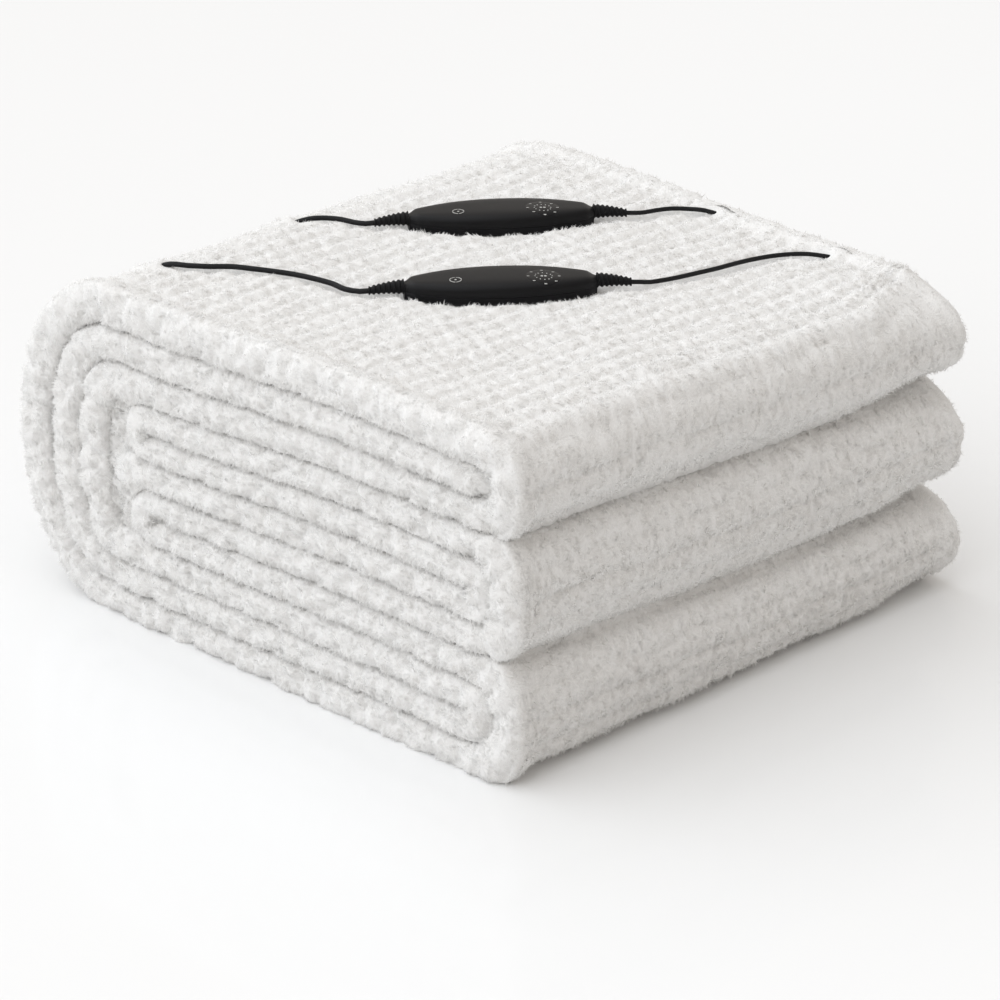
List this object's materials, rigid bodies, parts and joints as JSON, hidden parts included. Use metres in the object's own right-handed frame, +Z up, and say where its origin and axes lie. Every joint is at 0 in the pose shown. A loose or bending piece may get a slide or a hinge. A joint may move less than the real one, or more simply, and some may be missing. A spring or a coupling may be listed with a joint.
{
  "type": "heated mattress pad",
  "caption": "Heated mattress pad of long-pile fleece, folded into a thick square stack, with hand controllers and their leads lying on top.",
  "frame": {"origin": "centre of the stack's box at its base, where it rests", "axes": "+Z up, +X towards the rounded fold lobes, -Y towards the face that shows the folds"},
  "size_m": [0.6133, 0.542, 0.2592],
  "materials": {
    "fleece": "long-pile fleece",
    "case": "fine moulded texture",
    "inset": "smooth",
    "relief": "matt",
    "lead": "satin",
    "plug": "matt",
    "blade": "plated"
  },
  "bodies": {
    "root": {"fleece_pad": "fleece", "front_lower_shell": "case", "front_upper_shell": "case", "front_dial": "inset", "front_mains_relief": "relief", "front_pad_relief": "relief", "rear_lower_shell": "case", "rear_upper_shell": "case", "rear_dial": "inset", "rear_mains_relief": "relief", "rear_pad_relief": "relief", "front_mains_lead": "lead", "front_mains_lead_coil": "lead", "front_mains_lead_end": "lead", "rear_mains_lead": "lead", "rear_mains_lead_coil": "lead", "rear_mains_lead_end": "lead", "front_pad_lead": "lead", "front_pad_lead_coil": "lead", "front_pad_lead_end": "lead", "rear_pad_lead": "lead", "rear_pad_lead_coil": "lead", "rear_pad_lead_end": "lead", "front_plug": "plug", "front_plug_blade_left": "blade", "front_plug_blade_right": "blade", "rear_plug": "plug", "rear_plug_blade_left": "blade", "rear_plug_blade_right": "blade"}
  },
  "joints": []
}
